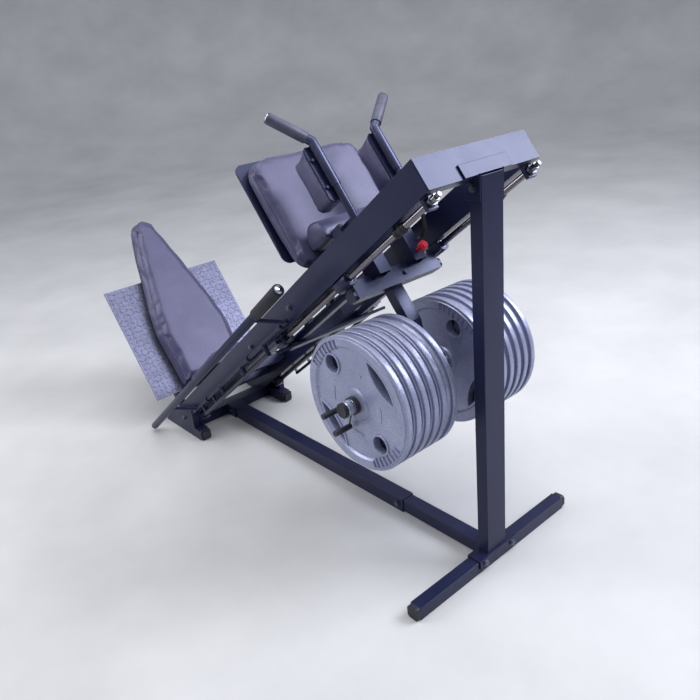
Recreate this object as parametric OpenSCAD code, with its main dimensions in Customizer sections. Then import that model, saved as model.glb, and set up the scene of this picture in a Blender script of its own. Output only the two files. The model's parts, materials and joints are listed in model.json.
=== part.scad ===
// Plate-loaded leg press and hack squat machine.
// Axes: X across the machine, +Y towards the tall rear post, +Z up, Z = 0 on the floor.
// Rail frame (module rail): x across, t along the rails with 0 at the top end and negative
// towards the low end, h square to the rails with 0 on the top face of the side beams.

/* [Frame] */
// Rail slope from the floor, degrees
rail_angle = 37.7; // [35:0.1:42]
// Height of the top end of the rails
top_z = 1370.5; // [1300:1:1450]
// Distance of the top end of the rails ahead of the origin
top_y = 1059.1; // [900:0.1:1200]
// Overall width across the side beams
rail_w = 469; // [420:1:520]
// Side beam thickness across
beam_t = 45; // [30:1:60]
// Side beam depth
beam_d = 94; // [80:1:110]
// Rear foot bar length with end caps
foot_w = 783; // [700:1:850]
// Tube wall thickness
wall = 3; // [2:0.5:5]

/* [Guide rods] */
// Guide rod radius
rod_r = 10; // [8:0.5:16]
// Guide rod offset from the centre plane
rod_x = 210.5; // [190:0.5:220]
// Guide rod position below the beam top face
rod_h = -111; // [-125:0.5:-105]
// Radial running clearance of the linear bearings
rod_fit = 0.05; // [0.02:0.01:0.1]

/* [Tread plate] */
// Hack squat tread plate width
tread_w = 632; // [500:1:700]
// Tread plate distance from the top end
tread_t = -2095; // [-2200:1:-2000]
// Tread plate upper edge above the beams
tread_top = 655; // [500:1:700]

/* [Pads] */
// Back pad height above the beams
back_top = 948; // [800:1:1000]
// Back pad cushion thickness
back_pad_d = 62; // [40:1:80]
// Press plate width
press_w = 500; // [400:1:560]
// Press plate upper edge above the beams
press_top = 437; // [350:1:500]
// Shoulder pad height
shoulder_l = 196; // [150:1:240]

/* [Weights] */
// Plate radius
plate_r = 225; // [150:1:225]
// Plate thickness
plate_t = 37.7; // [25:0.1:45]
// Plates on each horn
plate_n = 6; // [1:1:6]
// Weight horn radius
horn_r = 25; // [20:0.5:25]
// Weight horn reach from the centre plane
horn_x = 352; // [200:1:370]

/* [Lock levers] */
// Lock lever shaft offset from the centre plane
lock_x = 257; // [250:1:265]
// Lock lever hand bar offset from the centre plane
hand_x = 358; // [340:1:370]
// Rest positions along the rails
peg_t = [-1050, -1285, -1530];

/* [Hidden] */
$fn = 48;
half = rail_w / 2;
inner = half - beam_t;
post_y = top_y + 49;
foot_y = top_y + 51.4;
lock_h = -84;
hand_h = -28;
horn_t = -636;
horn_h = -452;
flange_x = 83;
hinge_t = -705;
hinge_h = 35;
plate_face = -686;
tread_face = tread_t + 5;
back_face = tread_face + 15 + 15 + back_pad_d;
handle_x = 133;
handle_t = -410;
front_t = -512;
rear_t = -985;
house_x = [187, 234];
house_h = [-134, -96];
bush_r = 14.5;
post_r = 12.7;
tube_r = 15.5;
groove_x = flange_x + plate_n * plate_t + 16.6;
pin_x = -80;
pin_h = -106;

// Helpers ------------------------------------------------------------------

module rail() { translate([0, top_y, top_z]) rotate([rail_angle, 0, 0]) children(); }

module both() { children(); mirror([1, 0, 0]) children(); }

// Solid block between two corners
module block(lo, hi) { translate(lo) cube(hi - lo); }

// Square tube between two corners, open along one axis (0 = x, 1 = y, 2 = z)
module tube(lo, hi, axis, t = wall) {
  a = [for (i = [0:2]) i == axis ? -1 : t];
  difference() { block(lo, hi); block(lo + a, hi - a); }
}

// Round bar between two points in the plane x = const or any straight line
module bar(a, b, r) {
  d = b - a;
  translate(a) rotate([0, acos(d.z / norm(d)), atan2(d.y, d.x)]) cylinder(r = r, h = norm(d));
}

module bar_x(x0, x1, t, h, r) { translate([x0, t, h]) rotate([0, 90, 0]) cylinder(r = r, h = x1 - x0); }

module bar_t(x, t0, t1, h, r) { translate([x, t0, h]) rotate([-90, 0, 0]) cylinder(r = r, h = t1 - t0); }

// Rounded rectangle, w along x and d along y, centred
module round_rect(w, d, r) {
  square([w - 2 * r, d], center = true);
  square([w, d - 2 * r], center = true);
  for (i = [-1, 1], j = [-1, 1]) translate([i * (w / 2 - r), j * (d / 2 - r)]) circle(r);
}

// Slab facing along the rails: outline in x and h, between two stations
module slab_t(t0, t1) { translate([0, t1, 0]) rotate([90, 0, 0]) linear_extrude(t1 - t0) children(); }

// Hexagon bolt head with washer, pointing +z
module bolt_head(af = 17) {
  cylinder(r = af * 0.68, h = 1.6);
  translate([0, 0, 1.6]) cylinder(r = af / 2 / cos(30), h = 6.4, $fn = 6);
}

// Frame ----------------------------------------------------------------------

module rear_foot_bar() color("#20243a")
  tube([15 - foot_w / 2, foot_y - 22.5, 0], [foot_w / 2 - 15, foot_y + 22.5, 45], 0);

module rear_foot_caps() color("#15161c") both() translate([foot_w / 2 - 15, foot_y, 22.5])
  difference() {
    translate([-30, 0, 0]) rotate([0, 90, 0]) {
      translate([0, 0, 30]) linear_extrude(15) round_rect(45, 45, 12);
      linear_extrude(30) round_rect(38.6, 38.6, 1);
    }
    translate([-31, -16, -16]) cube([31, 32, 32]);
  }

module rear_saddle() color("#20243a") difference() {
  block([-97, foot_y - 27.5, 18], [97, foot_y + 27.5, 50]);
  block([-98, foot_y - 22.5, -1], [98, foot_y + 22.5, 45]);
}

module upright_post() color("#20243a") difference() {
  tube([-46.5, post_y - 21, 50], [46.5, post_y + 21, 1297], 2);
  rail() block([-300, -200, -94], [300, 200, 200]);
}

module top_cap() color("#20243a") rail() {
  block([-half, -4, -94], [half, 0, 0]);
  block([-inner, -34, -94], [inner, -4, -90]);
}

module post_bracket() color("#20243a") {
  rail() block([-100, 0, -94], [100, 6, -52]);
  both() difference() {
    block([46.5, post_y - 34, 1228], [51.5, post_y + 20, 1330]);
    rail() block([-300, -200, -94], [300, 200, 200]);
  }
}

module side_beam(side) color("#20243a") difference() {
  mirror([side < 0 ? 1 : 0, 0, 0]) rail() tube([inner, -2300, -beam_d], [half, -4, 0], 1);
  block([-400, -1500, -300], [400, 0, 50]);
}
module side_beam_left() side_beam(-1);
module side_beam_right() side_beam(1);

module guide_rod(x) color("#8a8f9e") rail() bar_t(x, -1930, -10, rod_h, rod_r);
module guide_rod_left() guide_rod(-rod_x);
module guide_rod_right() guide_rod(rod_x);

module rod_brackets() color("#20243a") both() rail() difference() {
  union() {
    block([rod_x - 20, -50, rod_h - 20], [rod_x + 20, -38, -beam_d]);
    block([rod_x - 20, -1922, rod_h - 20], [rod_x + 20, -1910, -beam_d]);
  }
  bar_t(rod_x, -2000, 10, rod_h, rod_r);
}

module rod_nuts() color("#8a8f9e") both() rail() {
  difference() {
    translate([rod_x, -38, rod_h]) rotate([-90, 0, 0]) cylinder(r = 16, h = 12, $fn = 6);
    bar_t(rod_x, -156, -140, rod_h, 16);
    bar_t(rod_x, -200, 10, rod_h, rod_r);
  }
  bar_t(rod_x, -10, 4, rod_h, 7);
}

module rod_bumpers() color("#101014") both() rail() difference() {
  for (t = [-204, -1910], i = [0:3]) bar_t(rod_x, t + 12 * i, t + 12 * i + 12, rod_h, 16 - 2.5 * (i % 2));
  bar_t(rod_x, -2000, 0, rod_h, rod_r);
}

module front_cross_tube() color("#20243a")
  tube([-212.5, top_y - 1614, 0], [212.5, top_y - 1554, 50], 0);

module front_feet() color("#20243a") both()
  tube([212.5, top_y - 1751, 0], [262.5, top_y - 1436, 50], 1);

module front_foot_caps() color("#15161c") both() for (end = [0, 1])
  translate([237.5, top_y - (end == 1 ? 1436 : 1751), 25]) mirror([0, 1 - end, 0]) {
    rotate([-90, 0, 0]) linear_extrude(16) round_rect(50, 50, 10);
    translate([0, 16, 0]) rotate([-90, 0, 0]) linear_extrude(10) round_rect(38, 38, 14);
  }

// Boxed brackets between the beams and the feet, open towards the beam and the foot
module front_gussets() color("#20243a") both() translate([half, top_y, 0]) rotate([90, 0, 90])
  difference() {
    linear_extrude(28) polygon([[-1719, 50], [-1649, 94], [-1474, 159], [-1474, 50]]);
    translate([0, 0, -1]) linear_extrude(23)
      polygon([[-1709, 49], [-1645, 89], [-1479, 151], [-1479, 49]]);
  }

module base_sleeve() color("#20243a")
  tube([-29, top_y - 1554, 0], [29, top_y - 347, 58], 1, 4);

module base_tube() color("#20243a")
  tube([-25, top_y - 600, 4], [25, foot_y - 27.5, 54], 1);

module junction_bracket() color("#20243a") both()
  block([29, top_y - 1554, 0], [35, top_y - 1484, 58]);

module tread_plate() color("#aab0c8") rail()
  block([-tread_w / 2, tread_t, 66], [tread_w / 2, tread_face, tread_top]);

module tread_supports() color("#20243a") rail() both()
  tube([inner, tread_t - 30, 0], [inner + 30, tread_t, 600], 2);

module back_outline(grow = 0) {
  w = [[75, 183], [231, 186], [350, 190], [475, 172], [611, 137], [753, 106], [850, 78]];
  top = back_top - 62;
  pts = concat([for (p = w) [p[1] + grow, max(p[0] - grow, 60)]], [for (a = [20:20:160])
    [(66 + grow) * cos(a), top + (62 + grow) * sin(a)]],
    [for (i = [len(w) - 1:-1:0]) [-w[i][1] - grow, max(w[i][0] - grow, 60)]]);
  polygon(pts);
}

module back_pad() color("#5a5878") rail() slab_t(back_face - back_pad_d, back_face) back_outline();

module back_board() color("#15161c") rail() {
  slab_t(back_face - back_pad_d - 15, back_face - back_pad_d) back_outline(-8);
  for (x = [-70, 70]) block([x - 20, tread_face, 120], [x + 20, tread_face + 15, 620]);
}

module seat_pad() color("#5a5878") rail() translate([0, -1815, 32]) linear_extrude(58) round_rect(370, 340, 30);

module seat_frame() color("#20243a") rail() {
  block([-160, -1970, 20], [160, -1660, 32]);
  for (t = [-1940, -1740]) {
    block([-inner, t, -50], [inner, t + 40, -10]);
    both() block([100, t, -10], [130, t + 40, 20]);
  }
}

module lock_bearings() color("#20243a") both() rail() difference() {
  for (t = [-885, -1205, -1710]) {
    bar_t(lock_x, t - 12, t + 12, lock_h, 13);
    block([half, t - 8, lock_h - 8], [lock_x, t + 8, lock_h + 8]);
  }
  bar_t(lock_x, -2000, -700, lock_h, 8 + rod_fit);
}

module frame_bolts() color("#6a7084") {
  for (x = [-70, 70]) {
    translate([x, foot_y + 27.5, 32]) rotate([-90, 0, 0]) bolt_head();
  }
  both() {
    translate([51.5, post_y - 5, 1262]) rotate([0, 90, 0]) bolt_head();
    rail() for (t = [-817, -1180]) translate([half, t, -48]) rotate([0, 90, 0]) bolt_head();
    translate([half + 28, top_y - 1560, 76]) rotate([0, 90, 0]) bolt_head();
    translate([35, top_y - 1519, 29]) rotate([0, 90, 0]) bolt_head(13);
  }
  translate([29, top_y - 375, 29]) rotate([0, 90, 0]) bolt_head();
}

// Lock levers ------------------------------------------------------------------

// Shaft, two arms and hand bar, with the three rest pegs and the rail tying their lower ends
module lock_lever(side) color("#20243a") mirror([side < 0 ? 1 : 0, 0, 0]) rail() {
  bar_t(lock_x, -1900, -835, lock_h, 8);
  for (t = [-849, -1847]) bar([lock_x, t, lock_h + 1], [hand_x, t, hand_h - 10], 8.5);
  bar_t(hand_x, -2160, -640, hand_h, 16);
  translate([hand_x, -2160, hand_h]) sphere(16);
  for (t = peg_t) translate([lock_x, t, -128]) cylinder(r = 9.5, h = 44);
  block([lock_x - 6, -1790, -134], [lock_x + 6, -1045, -122]);
  for (t = [-1782, -1640]) block([lock_x - 5, t - 5, -124], [lock_x + 5, t + 5, -84]);
}
module lock_lever_left() lock_lever(-1);
module lock_lever_right() lock_lever(1);

module lock_grip(side) color("#15161c") mirror([side < 0 ? 1 : 0, 0, 0]) rail() {
  difference() {
    bar_t(hand_x, -824, -632, hand_h, 21);
    bar_t(hand_x, -825, -640, hand_h, 16);
  }
  bar_t(hand_x, -632, -628, hand_h, 18);
}
module lock_grip_left() lock_grip(-1);
module lock_grip_right() lock_grip(1);

// Carriage ------------------------------------------------------------------------

module carriage_front_beam() color("#20243a") rail() {
  tube([-187, front_t - 50, -175], [187, front_t, -115], 0);
  both() {
    block([178, front_t - 47, -172], [187, front_t - 3, -118]);
    translate([187, front_t - 25, -157]) rotate([0, 90, 0]) linear_extrude(12) round_rect(34, 46, 12);
  }
  translate([-30, front_t, -148]) rotate([-90, 0, 0]) bolt_head(14);
}

module carriage_rear_beam() color("#20243a") rail() {
  tube([-187, rear_t - 40, -150], [187, rear_t, -110], 0);
  bar_x(-268, 268, rear_t + 6, -144.5, 6);
  both() block([50, rear_t - 35, -110], [80, rear_t - 5, 40]);
}

module carriage_side_rails() color("#20243a") both() rail()
  tube([130, rear_t, -138.4], [160, front_t - 50, -115], 1);

module carriage_uprights() color("#20243a") both() rail()
  tube([55, front_t, -136], [105, front_t + 47, 15], 2);

module shoulder_beam() color("#20243a") rail() {
  tube([-168, front_t + 7, 15], [168, front_t + 57, 55], 0);
  both() {
    block([164, front_t + 10, 18], [168, front_t + 54, 52]);
    difference() {
      block([handle_x - 12, front_t + 57, 20], [handle_x + 12, handle_t, 50]);
      bar([handle_x, handle_t, 10], [handle_x, handle_t, 60], post_r);
    }
    block([70, front_t - 44, -115], [90, front_t - 8, 37]);
  }
}

module bearing_housings() color("#20243a") both() rail() difference() {
  union() {
    for (t = [-545, -1020]) {
      intersection() {
        bar_t(rod_x, t, t + 70, rod_h, 23.5);
        block([house_x[0], t, house_h[0]], [house_x[1], t + 70, house_h[1]]);
      }
      block([house_x[0], t + 5, -130], [rod_x, t + 65, -98]);
    }
    block([rod_x + 18, peg_t[0] + 9.8, -121], [lock_x, rear_t + 20, -107]);
  }
  bar_t(rod_x, -1100, -400, rod_h, bush_r);
}

module linear_bearings() color("#8a8f9e") both() rail() difference() {
  for (t = [-542, -1017]) bar_t(rod_x, t, t + 64, rod_h, bush_r);
  bar_t(rod_x, -1100, -400, rod_h, rod_r + rod_fit);
}

module carriage_handle() color("#15161c") rail() {
  bar([-105, -480, -70], [-125, -462, -70], 7);
  bar([-125, -462, -70], [-125, -428, -55], 7);
  bar([-125, -428, -55], [-125, -404, -8], 7);
  translate([-125, -462, -70]) sphere(7);
  translate([-125, -428, -55]) sphere(7);
  translate([-125, -404, -8]) sphere(9);
}

// Point along the bent-out upper part of a handle, 0 at the bend and 1 at the tube end
function on_grip(k) = [handle_x + 109 * k, handle_t, 320 + 104 * k];

module handle(side) color("#6f7490") mirror([side < 0 ? 1 : 0, 0, 0]) rail() {
  bar([handle_x, handle_t, 12], [handle_x, handle_t, 165], post_r);
  bar([handle_x, handle_t, 160], [handle_x, handle_t, 320], tube_r);
  translate([handle_x, handle_t, 320]) sphere(tube_r);
  bar(on_grip(0), on_grip(1), tube_r);
}
module handle_left() handle(-1);
module handle_right() handle(1);

module handle_grips() color("#4a4c66") both() rail() difference() {
  union() {
    bar(on_grip(0.15), on_grip(1), 18.5);
    bar(on_grip(0.99), on_grip(1.033), 17);
  }
  bar(on_grip(0.1), on_grip(1), tube_r);
}

module shoulder_plates() color("#20243a") both() rail() {
  slab_t(handle_t - tube_r - 6, handle_t - tube_r) polygon([
    [104, 128], [112, 120], [160, 120], [168, 128],
    [168, 304], [160, 312], [112, 312], [104, 304]
  ]);
  difference() {
    for (h = [185, 262])
      block([handle_x - 10, handle_t - tube_r, h], [handle_x + 10, handle_t, h + 24]);
    bar([handle_x, handle_t, 150], [handle_x, handle_t, 318], tube_r);
  }
  for (h = [166, 263]) translate([158, handle_t - tube_r, h]) rotate([-90, 0, 0]) bolt_head(10);
}

module shoulder_pad(side) color("#5a5878") mirror([side < 0 ? 1 : 0, 0, 0]) rail()
  translate([134, handle_t - tube_r - 6, 116 + shoulder_l / 2]) rotate([90, 0, 0])
    linear_extrude(86) round_rect(74, shoulder_l, 22);
module shoulder_pad_left() shoulder_pad(-1);
module shoulder_pad_right() shoulder_pad(1);

module head_pad() color("#5a5878") rail() {
  block([-165, -608, 37], [165, -516, 45]);
  translate([-185, -560.5, 45]) rotate([90, 0, 90]) linear_extrude(370) difference() {
    translate([0, 25]) round_rect(111, 110, 50);
    translate([-80, -60]) square([160, 60]);
  }
}

module hinge_brackets() color("#20243a") both() rail() difference() {
  union() {
    block([136, hinge_t - 15, -115], [146, hinge_t + 15, hinge_h]);
    bar_x(136, 146, hinge_t, hinge_h, 15);
  }
  bar_x(100, 160, hinge_t, hinge_h, 8);
}

module hinge_pin() color("#8a8f9e") rail() bar_x(-152, 152, hinge_t, hinge_h, 8);

module weight_stem() color("#20243a") rail() difference() {
  union() {
    block([-25, -588, -300], [25, -548, -175]);
    translate([0, horn_t, horn_h]) rotate([atan2(horn_t + 568, -300 - horn_h), 0, 0])
      block([-24.5, -19, 0], [24.5, 19, 172]);
    bar_x(-34, 34, horn_t, horn_h, 34);
  }
  bar_x(-40, 40, horn_t, horn_h, horn_r);
}

module weight_horns() color("#c8ccd8") rail() {
  difference() {
    bar_x(-horn_x, horn_x, horn_t, horn_h, horn_r);
    both() bar_x(horn_x - 24, horn_x + 1, horn_t, horn_h, horn_r - 4);
    both() difference() {
      bar_x(groove_x, groove_x + 1.2, horn_t, horn_h, horn_r + 1);
      bar_x(groove_x - 1, groove_x + 2, horn_t, horn_h, horn_r - 1);
    }
  }
  both() difference() {
    bar_x(flange_x - 10, flange_x, horn_t, horn_h, 52);
    bar_x(0, flange_x + 1, horn_t, horn_h, horn_r);
  }
}

module horn_caps() color("#15161c") both() rail() {
  bar_x(horn_x - 24, horn_x, horn_t, horn_h, horn_r - 4);
  bar_x(horn_x, horn_x + 10, horn_t, horn_h, horn_r - 0.4);
  bar_x(horn_x + 10, horn_x + 13, horn_t, horn_h, horn_r - 3);
}

// Press plate, folding down about the hinge pin ---------------------------------

module press_plate() color("#20243a") rail() {
  slab_t(plate_face - 6, plate_face)
    translate([0, (60 + press_top) / 2]) round_rect(press_w, press_top - 60, 30);
  both() difference() {
    union() {
      block([100, plate_face - 34, 22], [132, plate_face - 6, 110]);
      bar_x(100, 132, hinge_t, hinge_h, 13);
    }
    bar_x(90, 140, hinge_t, hinge_h, 8.06);
  }
}

module press_pad() color("#5a5878") rail() {
  slab_t(plate_face, plate_face + 12) translate([0, 225]) round_rect(440, 372, 40);
  slab_t(plate_face + 12, plate_face + 62) translate([0, 213]) round_rect(484, 418, 62);
}

// Pull pin ------------------------------------------------------------------------

module pop_pin() color("#b01830") rail() {
  bar_t(pin_x, front_t + 47.4, -441, pin_h, 6);
  bar_t(pin_x, -441, -424, pin_h, 15);
  translate([pin_x, -424, pin_h]) rotate([-90, 0, 0]) cylinder(r = 11, h = 5);
}

// Weight plates and collars ---------------------------------------------------------

// Grip plate: stepped rim, raised hub, recessed web, two round and two lens-shaped hand holes,
// with radial ribs on the rim outside the round holes
module plate() difference() {
  union() {
    difference() {
      rotate_extrude($fn = 96) polygon([
        [25.4, 0], [62, 0], [66, 6], [182, 6], [188, 0], [plate_r - 14, 0], [plate_r - 12, 13],
        [plate_r - 1.5, 13], [plate_r, 14.5], [plate_r, plate_t - 7], [plate_r - 2, plate_t - 5],
        [plate_r - 9, plate_t - 5], [plate_r - 11, plate_t - 1], [190, plate_t - 1],
        [184, plate_t - 8], [56, plate_t - 8], [52, plate_t - 1], [25.4, plate_t - 1]
      ]);
      for (a = [0, 180]) rotate([0, 0, a]) translate([0, 0, plate_t - 6]) linear_extrude(8)
        intersection() {
          difference() { circle(plate_r - 13); circle(179); }
          polygon([[0, 0], [300, -125], [300, 125]]);
        }
    }
    for (a = [0, 180], k = [-3:3]) rotate([0, 0, a + 6.2 * k])
      translate([181, -2.2, plate_t - 10]) cube([29.5, 4.4, 8.5]);
    for (a = [0, 180]) rotate([0, 0, a]) translate([147, 0, plate_t - 9]) cylinder(r = 36, h = 5);
    for (a = [90, 270]) rotate([0, 0, a]) translate([0, 0, plate_t - 9]) linear_extrude(5)
      intersection() { circle(185); translate([287, 0]) circle(156); }
  }
  for (a = [0, 180]) {
    rotate([0, 0, a]) translate([147, 0, -1]) cylinder(r = 30, h = plate_t + 2);
    rotate([0, 0, a + 90]) translate([0, 0, -1]) linear_extrude(plate_t + 2)
      intersection() { circle(178); translate([287, 0]) circle(149); }
  }
}

module plate_stack(side) color("#a9acc4") mirror([side < 0 ? 1 : 0, 0, 0]) rail()
  translate([flange_x + 0.6, horn_t, horn_h])
    for (i = [0:plate_n - 1]) translate([i * plate_t + (i == 0 ? plate_t - 1 : 0), 0, 0])
      mirror([i == 0 ? 1 : 0, 0, 0])
        rotate([i == plate_n - 1 ? 183.5 : 118 + 23 * i, 0, 0]) rotate([0, 90, 0]) plate();
module plates_left() plate_stack(-1);
module plates_right() plate_stack(1);

// Spring collar: coil ring with two finger grips
module collar(side) color("#101014") mirror([side < 0 ? 1 : 0, 0, 0]) rail()
  translate([flange_x + 1 + plate_n * plate_t, horn_t, horn_h]) {
    difference() {
      for (i = [0:2]) translate([5 * i, 0, 0]) rotate([0, 90, 0]) cylinder(r = 29 - (i % 2), h = 5);
      translate([-1, 0, 0]) rotate([0, 90, 0]) cylinder(r = horn_r + 0.4, h = 20);
    }
    for (a = [252, 208]) rotate([a - rail_angle, 0, 0]) {
      translate([8, 26, 0]) rotate([-90, 0, 0]) cylinder(r = 2.5, h = 62);
      translate([2, 88, 0]) rotate([0, 90, 0]) cylinder(r = 9.5, h = 66);
    }
  }
module collar_left() collar(-1);
module collar_right() collar(1);

rear_foot_bar();
rear_foot_caps();
rear_saddle();
upright_post();
top_cap();
post_bracket();
side_beam_left();
side_beam_right();
guide_rod_left();
guide_rod_right();
rod_brackets();
rod_nuts();
rod_bumpers();
front_cross_tube();
front_feet();
front_foot_caps();
front_gussets();
base_sleeve();
base_tube();
junction_bracket();
tread_plate();
tread_supports();
back_pad();
back_board();
seat_pad();
seat_frame();
lock_bearings();
frame_bolts();
lock_lever_left();
lock_lever_right();
lock_grip_left();
lock_grip_right();
carriage_front_beam();
carriage_rear_beam();
carriage_side_rails();
carriage_uprights();
shoulder_beam();
bearing_housings();
linear_bearings();
carriage_handle();
handle_left();
handle_right();
handle_grips();
shoulder_plates();
shoulder_pad_left();
shoulder_pad_right();
head_pad();
hinge_brackets();
hinge_pin();
weight_stem();
weight_horns();
horn_caps();
press_plate();
press_pad();
pop_pin();
plates_left();
plates_right();
collar_left();
collar_right();
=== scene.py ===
import json
import math

import bmesh
import bpy
from mathutils import Matrix, Vector
from mathutils.bvhtree import BVHTree


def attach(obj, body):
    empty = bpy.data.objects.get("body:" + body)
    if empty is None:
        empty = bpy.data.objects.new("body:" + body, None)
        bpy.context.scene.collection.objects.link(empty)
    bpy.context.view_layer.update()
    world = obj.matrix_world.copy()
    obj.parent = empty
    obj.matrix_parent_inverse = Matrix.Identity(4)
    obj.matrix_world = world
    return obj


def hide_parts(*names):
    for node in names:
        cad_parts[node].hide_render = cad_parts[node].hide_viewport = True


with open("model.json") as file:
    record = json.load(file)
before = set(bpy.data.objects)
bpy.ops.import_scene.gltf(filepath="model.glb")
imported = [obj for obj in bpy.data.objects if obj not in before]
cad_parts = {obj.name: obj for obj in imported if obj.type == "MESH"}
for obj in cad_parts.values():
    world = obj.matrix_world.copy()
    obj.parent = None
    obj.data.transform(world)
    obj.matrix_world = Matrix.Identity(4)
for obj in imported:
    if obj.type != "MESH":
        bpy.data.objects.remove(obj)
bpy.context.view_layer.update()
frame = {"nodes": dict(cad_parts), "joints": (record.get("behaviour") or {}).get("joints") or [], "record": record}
NODES = frame["nodes"]

MM = 0.001
SIDES = (("left", -1), ("right", 1))

# Rail frame: x across, t along the rails (0 at the top end), h square to the rails.
SLIDE = next(j for j in frame["joints"] if j["name"] == "carriage_slide")
T_AXIS = Vector(SLIDE["axis"]).normalized()
H_AXIS = Vector((1, 0, 0)).cross(T_AXIS)
TOP_Y, TOP_Z = 1.0591, 1.3705
RAIL = Matrix.Translation((0, TOP_Y, TOP_Z)) @ Matrix((
    (1, 0, 0, 0),
    (0, T_AXIS.y, H_AXIS.y, 0),
    (0, T_AXIS.z, H_AXIS.z, 0),
    (0, 0, 0, 1),
))
UP_RAIL, DOWN_RAIL = T_AXIS, -T_AXIS


def rail(x, t, h):
    """Scene position of a point of the rail frame, in metres."""
    return RAIL @ Vector((x, t, h))


def rail_mm(x, t, h):
    return rail(x * MM, t * MM, h * MM)


# Materials -----------------------------------------------------------------------

BLACK, WHITE = (0, 0, 0), (1, 1, 1)
CHIP_COLOUR = (0.10, 0.10, 0.13)
FLOOR_DARK, FLOOR_LIGHT = (0.40, 0.40, 0.40), (0.51, 0.51, 0.505)
GROUND_LINES = (30, 1, 1)
CREASES = (1.0, 1.7, 1.3)


class Nodes:
    """A material's node tree with short helpers."""

    def __init__(self, name):
        self.mat = bpy.data.materials.new(name)
        self.mat.use_nodes = True
        self.tree = self.mat.node_tree
        self.tree.nodes.clear()
        self.out = self.add("ShaderNodeOutputMaterial")
        self.bsdf = self.add("ShaderNodeBsdfPrincipled")
        self.link(self.bsdf.outputs[0], self.out.inputs[0])
        self.coord = self.add("ShaderNodeTexCoord").outputs["Object"]

    def add(self, kind, **values):
        n = self.tree.nodes.new(kind)
        for key, value in values.items():
            setattr(n, key, value)
        return n

    def link(self, a, b):
        self.tree.links.new(a, b)

    def noise(self, scale, detail=4.0, rough=0.55, stretch=None):
        n = self.add("ShaderNodeTexNoise")
        n.inputs["Scale"].default_value = scale
        n.inputs["Detail"].default_value = detail
        n.inputs["Roughness"].default_value = rough
        self.link(self.mapped(stretch), n.inputs["Vector"])
        return n.outputs["Fac"]

    def cells(self, scale, feature="F1", stretch=None):
        n = self.add("ShaderNodeTexVoronoi", feature=feature)
        n.inputs["Scale"].default_value = scale
        self.link(self.mapped(stretch), n.inputs["Vector"])
        return n.outputs["Distance"]

    def mapped(self, stretch):
        if stretch is None:
            return self.coord
        m = self.add("ShaderNodeMapping")
        m.inputs["Scale"].default_value = stretch
        self.link(self.coord, m.inputs["Vector"])
        return m.outputs[0]

    def ramp(self, fac, stops):
        n = self.add("ShaderNodeValToRGB")
        while len(n.color_ramp.elements) < len(stops):
            n.color_ramp.elements.new(0.5)
        for e, (pos, col) in zip(n.color_ramp.elements, stops):
            e.position = pos
            e.color = (*col, 1)
        self.link(fac, n.inputs[0])
        return n.outputs[0]

    def mix(self, fac, a, b):
        n = self.add("ShaderNodeMix", data_type="RGBA")
        self.link(fac, n.inputs["Factor"])
        for value, socket in ((a, n.inputs[6]), (b, n.inputs[7])):
            if isinstance(value, (tuple, list)):
                socket.default_value = (*value, 1)
            else:
                self.link(value, socket)
        return n.outputs[2]

    def span(self, fac, low, high):
        n = self.add("ShaderNodeMapRange")
        n.inputs["To Min"].default_value = low
        n.inputs["To Max"].default_value = high
        self.link(fac, n.inputs["Value"])
        return n.outputs[0]

    def bump(self, heights):
        """heights: list of (socket, strength, distance in metres), stacked."""
        last = None
        for height, strength, distance in heights:
            n = self.add("ShaderNodeBump")
            n.inputs["Strength"].default_value = strength
            n.inputs["Distance"].default_value = distance
            self.link(height, n.inputs["Height"])
            if last:
                self.link(last, n.inputs["Normal"])
            last = n.outputs[0]
        self.link(last, self.bsdf.inputs["Normal"])

    def set(self, **values):
        for key, value in values.items():
            socket = self.bsdf.inputs[key.replace("_", " ")]
            if isinstance(value, (int, float, tuple)):
                socket.default_value = value
            else:
                self.link(value, socket)


def powder_coat(name, dark, light, rough, metal=0.0):
    """Satin powder coat: fine orange peel, faint dust and rubbed patches."""
    n = Nodes(name)
    cloud = n.ramp(n.noise(5, 6, 0.6), [(0.35, BLACK), (0.7, WHITE)])
    colour = n.mix(cloud, dark, light)
    speck = n.ramp(n.noise(240, 3, 0.7), [(0.66, BLACK), (0.74, WHITE)])
    dusty = tuple(c * 1.7 + 0.01 for c in light)
    n.set(Base_Color=n.mix(speck, colour, dusty))
    n.set(Roughness=n.span(n.noise(14, 5, 0.65), *rough), Metallic=metal)
    n.set(Specular_Tint=(0.62, 0.68, 1.0, 1), Specular_IOR_Level=0.42)
    n.bump([(n.noise(900, 2, 0.5), 0.16, 0.0004), (n.noise(60, 3, 0.5), 0.05, 0.0006)])
    return n.mat


def vinyl(name, dark, light):
    """Upholstery vinyl: pebble grain with painted shade in its pores, soft creases and a sheen of handling."""
    n = Nodes(name)
    worn = n.ramp(n.noise(6, 5, 0.6), [(0.3, BLACK), (0.75, WHITE)])
    # Painted shade: dark dots stand in for shade in the pores of the grain.
    pore_shade_mask = n.ramp(n.cells(520), [(0.0, WHITE), (0.45, BLACK)])
    n.set(Base_Color=n.mix(pore_shade_mask, n.mix(worn, dark, light), tuple(c * 0.8 for c in dark)))
    n.set(Roughness=n.span(n.noise(9, 5, 0.6), 0.33, 0.50), Specular_IOR_Level=0.6)
    n.set(Specular_Tint=(0.78, 0.78, 1.0, 1))
    n.set(Sheen_Weight=0.12, Sheen_Roughness=0.4, Sheen_Tint=(0.6, 0.6, 0.9, 1))
    n.bump([
        (n.noise(7, 4, 0.6, CREASES), 0.35, 0.004),
        (n.cells(430, "SMOOTH_F1"), 0.30, 0.0007),
    ])
    return n.mat


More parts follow.
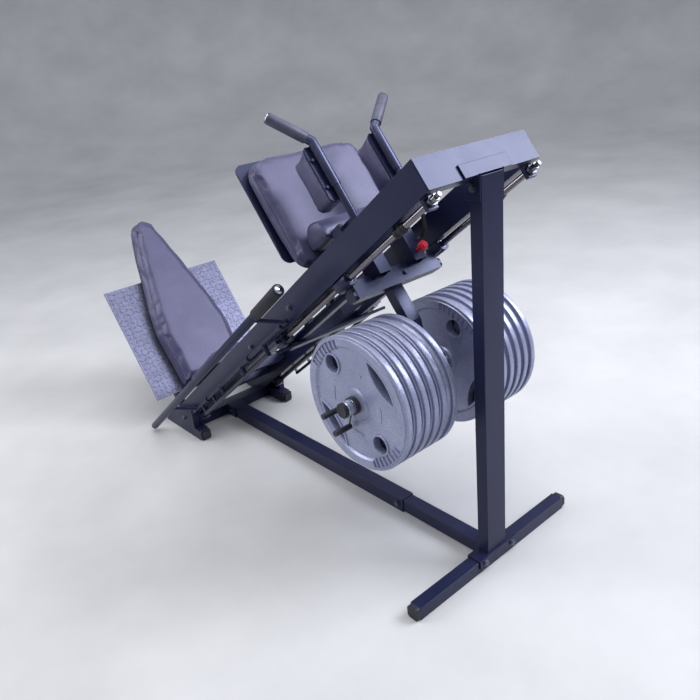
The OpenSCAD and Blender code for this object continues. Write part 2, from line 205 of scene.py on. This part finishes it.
def hammer_paint(name, dark, light, cell=260):
    """Hammertone paint on cast iron: dimpled skin, painted shade that darkens the colour with the dimple pattern,
    chipped specks.
    """
    n = Nodes(name)
    dimple = n.cells(cell, "SMOOTH_F1")
    cloud = n.ramp(n.noise(9, 6, 0.65), [(0.3, BLACK), (0.72, WHITE)])
    colour = n.mix(cloud, dark, light)
    # Painted shade: the same dimple pattern that shapes the bump darkens the colour, standing in for shade on the
    # dimpled skin.
    dimple_shade_mask = n.ramp(dimple, [(0.25, BLACK), (0.75, WHITE)])
    chip = n.ramp(n.noise(130, 5, 0.75), [(0.69, BLACK), (0.73, WHITE)])
    colour = n.mix(dimple_shade_mask, colour, tuple(c * 0.88 for c in dark))
    n.set(Base_Color=n.mix(chip, colour, CHIP_COLOUR))
    n.set(Roughness=n.span(n.noise(22, 5, 0.6), 0.32, 0.46), Metallic=0.5)
    n.bump([(dimple, 0.22, 0.0009), (n.noise(420, 3, 0.6), 0.08, 0.0004)])
    return n.mat


def turned_metal(name, base, rough=(0.12, 0.28)):
    """Ground or plated steel with fine lines and light smears."""
    n = Nodes(name)
    lines = n.noise(60, 4, 0.7, GROUND_LINES)
    smear = n.ramp(n.noise(11, 5, 0.6), [(0.35, BLACK), (0.75, WHITE)])
    n.set(Base_Color=n.mix(smear, base, tuple(c * 0.72 for c in base)), Metallic=1.0)
    n.set(Roughness=n.span(lines, *rough))
    n.bump([(lines, 0.08, 0.0003)])
    return n.mat


def rubber(name, dark, light, rough=(0.55, 0.75)):
    """Moulded rubber or plastic with a fine matt texture and scuffs."""
    n = Nodes(name)
    scuff = n.ramp(n.noise(30, 6, 0.7), [(0.4, BLACK), (0.75, WHITE)])
    n.set(Base_Color=n.mix(scuff, dark, light))
    n.set(Roughness=n.span(n.noise(18, 4, 0.6), *rough), Specular_IOR_Level=0.4)
    n.bump([(n.noise(600, 3, 0.6), 0.25, 0.0005)])
    return n.mat


def concrete(name):
    """Pale studio floor with soft clouding."""
    n = Nodes(name)
    cloud = n.ramp(n.noise(1.1, 8, 0.6), [(0.3, BLACK), (0.72, WHITE)])
    n.set(Base_Color=n.mix(cloud, FLOOR_DARK, FLOOR_LIGHT))
    n.set(Roughness=n.span(n.noise(3, 6, 0.6), 0.55, 0.75))
    n.bump([(n.noise(40, 6, 0.6), 0.08, 0.002)])
    return n.mat


# Slot: kind of material, then its arguments (dark and light colour, roughness range, ...).
LOOKS = {
    "frame_paint": (powder_coat, (0.006, 0.007, 0.026), (0.010, 0.012, 0.038), (0.28, 0.40)),
    "black_plastic": (rubber, (0.010, 0.010, 0.017), (0.022, 0.023, 0.035), (0.4, 0.6)),
    "rod_steel": (turned_metal, (0.22, 0.20, 0.22), (0.2, 0.34)),
    "polished_steel": (turned_metal, (0.62, 0.64, 0.72)),
    "zinc_steel": (turned_metal, (0.16, 0.17, 0.22), (0.3, 0.45)),
    "rubber_black": (rubber, (0.008, 0.008, 0.014), (0.02, 0.02, 0.03)),
    "pad_vinyl": (vinyl, (0.034, 0.033, 0.076), (0.052, 0.050, 0.105)),
    "tread_steel": (hammer_paint, (0.075, 0.078, 0.132), (0.135, 0.14, 0.215), 90),
    "handle_steel": (powder_coat, (0.035, 0.038, 0.07), (0.06, 0.065, 0.11), (0.22, 0.34), 0.5),
    "handle_rubber": (rubber, (0.05, 0.052, 0.085), (0.09, 0.093, 0.14), (0.42, 0.6)),
    "knob_red": (rubber, (0.42, 0.01, 0.03), (0.55, 0.02, 0.04), (0.25, 0.4)),
    "plate_iron": (hammer_paint, (0.26, 0.28, 0.41), (0.38, 0.40, 0.55)),
    "spring_steel": (rubber, (0.010, 0.010, 0.016), (0.03, 0.03, 0.04), (0.3, 0.5)),
}
MATS = {name: look[0](name, *look[1:]) for name, look in LOOKS.items()}
NODE_SLOT = {s["node"]: s["material_slot"] for s in frame["record"]["subparts"]}

BEVEL = {"tread_plate": 0.0008, "collar_left": 0.0006, "collar_right": 0.0006}
BEVEL_DEFAULT = 0.0016
BEVEL_ANGLE = math.radians(38)
WELD_DISTANCE = 0.00002


def dress(obj, name):
    """Gives a carried-over CAD node its material and rounds its edges."""
    obj.data.materials.clear()
    obj.data.materials.append(MATS[NODE_SLOT[name]])
    weld = obj.modifiers.new("weld", "WELD")
    weld.merge_threshold = WELD_DISTANCE
    bev = obj.modifiers.new("edge", "BEVEL")
    bev.width = BEVEL.get(name, BEVEL_DEFAULT)
    bev.segments = 2
    bev.limit_method = "ANGLE"
    bev.angle_limit = BEVEL_ANGLE
    bev.harden_normals = True
    bev.use_clamp_overlap = True


for node_name, node in NODES.items():
    dress(node, node_name)

# Mesh helpers ------------------------------------------------------------------


def new_object(name, bm, material, body, smooth=True):
    mesh = bpy.data.meshes.new(name)
    bm.normal_update()
    bm.to_mesh(mesh)
    bm.free()
    for p in mesh.polygons:
        p.use_smooth = smooth
    obj = bpy.data.objects.new(name, mesh)
    bpy.context.collection.objects.link(obj)
    mesh.materials.append(MATS[material])
    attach(obj, body)
    return obj


# Cushions ------------------------------------------------------------------------

PRESSURE = 4.0
CLOTH_FRAMES = 20
BACKING = 0.004  # vertices this close to the flat back are pinned
FLAT = 0.002  # above this height over the back, the skin draws in more and more


def cushion(name, node, body, face, shrink, cap, voxel=0.006):
    """A crowned copy of a plain CAD cushion, swollen towards face from a flat back.

    shrink: how far the skin starts inside the CAD shape. cap: the most it may swell.
    """
    bm = bmesh.new()
    bm.from_mesh(NODES[node].data)
    bmesh.ops.remove_doubles(bm, verts=bm.verts, dist=0.00005)
    obj = new_object(name, bm, "pad_vinyl", body)
    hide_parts(node)
    bpy.context.view_layer.objects.active = obj
    remesh = obj.modifiers.new("remesh", "REMESH")
    remesh.mode = "VOXEL"
    remesh.voxel_size = voxel
    remesh.use_smooth_shade = True
    apply_modifiers(obj)
    vertices = obj.data.vertices
    skin = [(v.co.copy(), v.normal.copy()) for v in vertices]
    heights = [p.dot(face) for p, _ in skin]
    back, front = min(heights), max(heights)
    for v, (p, normal), height in zip(vertices, skin, heights):
        lift = min(1.0, max(0.0, (height - back - FLAT) / (front - back) * 1.6))
        v.co = p - normal * shrink * (0.25 + 0.75 * lift)
    inflate(obj, [i for i, h in enumerate(heights) if h < back + BACKING], cap, face, back)
    soften = obj.modifiers.new("soften", "SMOOTH")
    soften.factor, soften.iterations = 0.5, 6
    fine = obj.modifiers.new("fine", "SUBSURF")
    fine.levels = fine.render_levels = 1
    apply_modifiers(obj)
    for p in obj.data.polygons:
        p.use_smooth = True
    return obj


def apply_modifiers(obj):
    dg = bpy.context.evaluated_depsgraph_get()
    mesh = bpy.data.meshes.new_from_object(obj.evaluated_get(dg), depsgraph=dg)
    old = obj.data
    obj.modifiers.clear()
    obj.data = mesh
    name = old.name
    bpy.data.meshes.remove(old)
    mesh.name = name


def inflate(obj, pins, cap, face, back):
    """Swells the mesh as pressurised cloth held at pins, by cap at most and never past its back."""
    start = [v.co.copy() for v in obj.data.vertices]
    group = obj.vertex_groups.new(name="pin")
    group.add(pins, 1.0, "REPLACE")
    cloth = obj.modifiers.new("cloth", "CLOTH")
    s = cloth.settings
    s.quality = 5
    s.mass = 0.3
    s.tension_stiffness = s.compression_stiffness = 12
    s.shear_stiffness = 5
    s.bending_stiffness = 0.6
    s.use_pressure = True
    s.uniform_pressure_force = PRESSURE
    s.vertex_group_mass = group.name
    s.effector_weights.gravity = 0
    cloth.collision_settings.use_collision = False
    scene = bpy.context.scene
    for f in range(1, CLOTH_FRAMES + 1):
        scene.frame_set(f)
    apply_modifiers(obj)
    for v, a in zip(obj.data.vertices, start):
        d = v.co - a
        if d.length > cap:
            v.co = a + d * (cap / d.length)
        under = back - v.co.dot(face)
        if under > 0:
            v.co += face * under
    obj.vertex_groups.clear()
    scene.frame_set(1)


BEAD_RADIUS, BEAD_LIFT, BEAD_STEP = 0.0022, 0.0006, 0.008


def piping(name, obj, body, points):
    """A sewn bead: a closed tube that follows points pulled onto the cushion's skin."""
    tree = BVHTree.FromObject(obj, bpy.context.evaluated_depsgraph_get())
    path = []
    for p in resample(points, BEAD_STEP):
        hit, normal, _, _ = tree.find_nearest(p)
        path.append(hit + normal * BEAD_LIFT)
    tube_mesh(name, relax(path, 4), BEAD_RADIUS, "pad_vinyl", body, closed=True)


def resample(points, step):
    """The closed line through points, cut into pieces of about one step."""
    out = []
    for a, b in zip(points, points[1:] + points[:1]):
        n = max(1, round((b - a).length / step))
        out += [a.lerp(b, i / n) for i in range(n)]
    return out


def relax(path, times):
    """Smooths a closed line by averaging each point with its neighbours."""
    for _ in range(times):
        before, after = path[-1:] + path[:-1], path[1:] + path[:1]
        path = [(a + p * 2 + b) / 4 for a, p, b in zip(before, path, after)]
    return path


def tube_mesh(name, path, radius, material, body, closed=False, sides=8):
    bm = bmesh.new()
    rings = []
    count = len(path)
    side = None
    for i, p in enumerate(path):
        a = path[i - 1] if closed or i else path[0]
        b = path[(i + 1) % count] if closed or i < count - 1 else path[-1]
        along = (b - a).normalized()
        if side is None:
            side = along.orthogonal().normalized()
        side = (side - along * side.dot(along)).normalized()
        other = along.cross(side)
        rings.append([
            bm.verts.new(p + (side * math.cos(k) + other * math.sin(k)) * radius)
            for k in (2 * math.pi * j / sides for j in range(sides))
        ])
    for r0, r1 in zip(rings, rings[1:]):
        for j in range(sides):
            bm.faces.new((r0[j], r0[(j + 1) % sides], r1[(j + 1) % sides], r1[j]))
    if closed:
        # The last ring may be turned against the first, so its nearest corners are joined.
        turn = min(range(sides), key=lambda k: (rings[0][k].co - rings[-1][0].co).length)
        for j in range(sides):
            a, b = rings[-1][j], rings[-1][(j + 1) % sides]
            c, d = rings[0][(j + 1 + turn) % sides], rings[0][(j + turn) % sides]
            bm.faces.new((a, b, c, d))
    else:
        bm.faces.new(list(reversed(rings[0])))
        bm.faces.new(rings[-1])
    bmesh.ops.recalc_face_normals(bm, faces=bm.faces)
    new_object(name, bm, material, body)


back = cushion("back_cushion", "back_pad", "frame", UP_RAIL, 0.012, 0.020)
seat = cushion("seat_cushion", "seat_pad", "frame", H_AXIS, 0.010, 0.018)
hack = cushion("hack_cushion", "press_pad", "flip_plate", UP_RAIL, 0.009, 0.016)
head = cushion("head_cushion", "head_pad", "carriage", H_AXIS, 0.006, 0.010, 0.005)
pads = {}
for side, _ in SIDES:
    name, node = f"shoulder_cushion_{side}", f"shoulder_pad_{side}"
    pads[side] = cushion(name, node, "carriage", DOWN_RAIL, 0.007, 0.012, 0.005)

# Seams, treads and raised details --------------------------------------------------


def outline(points, t):
    return [rail_mm(x, t, h) for x, h in points]


def arc(cx, cy, rx, ry, degrees):
    """Points of an elliptical arc at the given angles."""
    return [
        (cx + rx * math.cos(math.radians(a)), cy + ry * math.sin(math.radians(a)))
        for a in degrees
    ]


def rounded(w, d, r, cx, cy):
    """Corner points of a rounded rectangle, anticlockwise, six to each corner."""
    out = []
    for k, (sx, sy) in enumerate(((1, 1), (-1, 1), (-1, -1), (1, -1))):
        degrees = [90 * k + 90 * j / 5 for j in range(6)]
        out += arc(cx + sx * (w / 2 - r), cy + sy * (d / 2 - r), r, r, degrees)
    return out


# Edge of the tapered back pad as (h, half width) in mm, closed by its round top.
BACK_W = ((80, 181), (231, 184), (350, 188), (475, 170), (611, 135), (753, 104), (850, 76))
back_line = [(w, h) for h, w in BACK_W]
back_line += arc(0, 886, 64, 60, range(20, 161, 20))
back_line += [(-w, h) for h, w in reversed(BACK_W)]
hack_line = rounded(480, 414, 60, 0, 213)
for tag, back_t, hack_t in (("front", -2010, -636), ("rear", -2052, -664)):
    piping(f"back_piping_{tag}", back, "frame", outline(back_line, back_t))
    piping(f"hack_piping_{tag}", hack, "flip_plate", outline(hack_line, hack_t))
seat_line = rounded(364, 334, 28, 0, -1815)
piping("seat_piping", seat, "frame", [rail_mm(x, t, 78) for x, t in seat_line])
# The head roll's end section as (t, h): a half round on a narrower foot.
head_line = arc(-560.5, 74, 50, 44, range(0, 181, 15))
head_line += [(-610, 60), (-608, 48), (-513, 48), (-511, 60)]
for side, sign in SIDES:
    piping(f"head_piping_{side}", head, "carriage", [rail_mm(sign * 181, t, h) for t, h in head_line])
    shoulder_line = rounded(70, 192, 20, sign * 134, 214)
    piping(f"shoulder_piping_{side}", pads[side], "carriage", outline(shoulder_line, -504))

LOZENGE_PITCH, LOZENGE_HEIGHT = 24.0, 1.5
LOZENGE_LENGTH, LOZENGE_WIDTH = 11.0, 3.4  # half sizes
LOZENGE_TOP = 0.62  # size of its flat top over its foot
LOZENGE_CORNERS = 10


def treads(name, body, slot, t, facing, half_width, low, high):
    """Raised lozenges in alternate directions over one face of a tread plate."""
    bm = bmesh.new()
    columns = int(half_width * 2 / LOZENGE_PITCH)
    rows = int((high - low) / LOZENGE_PITCH)
    for i in range(columns):
        for j in range(rows):
            cx = (i - (columns - 1) / 2) * LOZENGE_PITCH
            ch = (low + high) / 2 + (j - (rows - 1) / 2) * LOZENGE_PITCH
            turn = math.radians(45 if (i + j) % 2 else -45)
            ring, top = [], []
            for k in range(LOZENGE_CORNERS):
                a = 2 * math.pi * k / LOZENGE_CORNERS
                u = LOZENGE_LENGTH * math.cos(a)
                v = LOZENGE_WIDTH * math.sin(a) * (1 - 0.35 * abs(math.cos(a)))
                for store, scale, lift in ((ring, 1.0, 0.0), (top, LOZENGE_TOP, LOZENGE_HEIGHT)):
                    x = cx + scale * (u * math.cos(turn) - v * math.sin(turn))
                    h = ch + scale * (u * math.sin(turn) + v * math.cos(turn))
                    store.append(bm.verts.new(rail_mm(x, t + facing * lift, h)))
            bm.faces.new(top)
            for k in range(LOZENGE_CORNERS):
                bm.faces.new((ring[k - 1], ring[k], top[k], top[k - 1]))
    bmesh.ops.recalc_face_normals(bm, faces=bm.faces)
    new_object(name, bm, slot, body, smooth=False)


treads("tread_lozenges", "frame", "tread_steel", -2090, 1, 312, 70, 651)
treads("press_lozenges", "flip_plate", "frame_paint", -692, -1, 232, 84, 416)


def prism(bm, corners, depth):
    base = [bm.verts.new(c) for c in corners]
    top = [bm.verts.new(c + depth) for c in corners]
    bm.faces.new(base)
    bm.faces.new(top)
    for k in range(len(corners)):
        bm.faces.new((base[k - 1], base[k], top[k], top[k - 1]))


HORN_T, HORN_H = -636, -452  # axis of the weight horns
WEB_X = 301.6  # face that the raised bars stand on, on the outermost weight plate
BAR_INNER, BAR_OUTER, BAR_HEIGHT = 101, 112, 1.6
CAP_SIDES = 24
for side, sign in SIDES:
    # Plain raised bars around each weight plate.
    bm = bmesh.new()
    for middle in (48.5, 138.5, 228.5, 318.5):
        degrees = [middle + d for d in range(-14, 15, 4)]
        bar = arc(HORN_T, HORN_H, BAR_OUTER, BAR_OUTER, degrees)
        bar += arc(HORN_T, HORN_H, BAR_INNER, BAR_INNER, reversed(degrees))
        corners = [rail_mm(sign * WEB_X, t, h) for t, h in bar]
        prism(bm, corners, Vector((sign * BAR_HEIGHT * MM, 0, 0)))
    bmesh.ops.recalc_face_normals(bm, faces=bm.faces)
    new_object(f"raised_bars_{side}", bm, "plate_iron", f"weights_{side}", smooth=False)
    # Bright discs in the open ends of the lock lever and of the handle.
    ends = [rail(sign * 0.358, t, -0.028) for t in (-0.629, -0.6265)]
    tube_mesh(f"lever_cap_{side}", ends, 0.0145, "polished_steel", f"lever_{side}", sides=CAP_SIDES)
    ends = [rail(sign * 0.2450, -0.410, 0.4269), rail(sign * 0.2474, -0.410, 0.4293)]
    tube_mesh(f"handle_cap_{side}", ends, 0.0135, "polished_steel", "carriage", sides=CAP_SIDES)

# Stage -----------------------------------------------------------------------------

FLOOR_RADIUS, RIM_RADIUS = 8, 5
FLOOR_SECTORS = 72
WORLD_COLOUR, WORLD_STRENGTH = (0.84, 0.87, 1.0, 1), 0.66
LIGHTS = (  # name, place, watts, size, colour
    ("ceiling", (0.2, 0.6, 5.4), 200, 4.5, (1, 0.99, 0.97)),
    ("rear_top", (-3.0, 3.0, 3.7), 300, 2.6, (0.86, 0.89, 1)),
    ("front_side", (3.6, -2.6, 3.0), 140, 2.8, (0.95, 0.96, 1)),
)
LIGHT_TARGET = Vector((0, 0, 0.6))
CAMERA_PLACE = (1.5544, 2.3578, 1.6847)
CAMERA_AZIMUTH, CAMERA_ELEVATION, CAMERA_ROLL = 140.70, 23.97, -5.784  # degrees
CAMERA_LENS, CAMERA_SENSOR = 37.24, 36.0


def floor_bowl():
    """A flat disc that sweeps up at its rim, so no horizon shows from any side."""
    bm = bmesh.new()
    profile = [(0.01, 0), (FLOOR_RADIUS / 2, 0), (FLOOR_RADIUS, 0)]
    for a in (math.radians(9 * k) for k in range(1, 11)):
        rise = RIM_RADIUS - RIM_RADIUS * math.cos(a)
        profile.append((FLOOR_RADIUS + RIM_RADIUS * math.sin(a), rise))
    around = [2 * math.pi * k / FLOOR_SECTORS for k in range(FLOOR_SECTORS)]
    rings = [[bm.verts.new((r * math.cos(a), r * math.sin(a), z)) for a in around] for r, z in profile]
    bm.faces.new(rings[0])
    for low, high in zip(rings, rings[1:]):
        for k in range(FLOOR_SECTORS):
            bm.faces.new((low[k - 1], low[k], high[k], high[k - 1]))
    bmesh.ops.recalc_face_normals(bm, faces=bm.faces)
    mesh = bpy.data.meshes.new("floor")
    bm.to_mesh(mesh)
    bm.free()
    for p in mesh.polygons:
        p.use_smooth = True
    floor = bpy.data.objects.new("floor", mesh)
    bpy.context.collection.objects.link(floor)
    mesh.materials.append(concrete("floor_concrete"))


def studio():
    world = bpy.data.worlds.new("studio")
    bpy.context.scene.world = world
    world.use_nodes = True
    background = world.node_tree.nodes["Background"]
    background.inputs["Color"].default_value = WORLD_COLOUR
    background.inputs["Strength"].default_value = WORLD_STRENGTH
    for name, place, energy, size, colour in LIGHTS:
        light = bpy.data.lights.new(name, "AREA")
        light.energy, light.size, light.color = energy, size, colour
        obj = bpy.data.objects.new(name, light)
        obj.location = place
        obj.rotation_euler = (LIGHT_TARGET - obj.location).to_track_quat("-Z", "Y").to_euler()
        bpy.context.collection.objects.link(obj)


def camera():
    azimuth = math.radians(CAMERA_AZIMUTH)
    elevation = math.radians(CAMERA_ELEVATION)
    roll = math.radians(CAMERA_ROLL)
    back = Vector((
        math.sin(azimuth) * math.cos(elevation),
        -math.cos(azimuth) * math.cos(elevation),
        math.sin(elevation),
    ))
    level = Vector((math.cos(azimuth), math.sin(azimuth), 0))
    upright = back.cross(level)
    right = level * math.cos(roll) + upright * math.sin(roll)
    up = upright * math.cos(roll) - level * math.sin(roll)
    data = bpy.data.cameras.new("camera")
    data.lens, data.sensor_width = CAMERA_LENS, CAMERA_SENSOR
    cam = bpy.data.objects.new("camera", data)
    turn = Matrix((right, up, back)).transposed().to_4x4()
    cam.matrix_world = Matrix.Translation(CAMERA_PLACE) @ turn
    bpy.context.collection.objects.link(cam)
    bpy.context.scene.camera = cam


floor_bowl()
studio()
camera()
bpy.context.scene.view_settings.view_transform = "Standard"
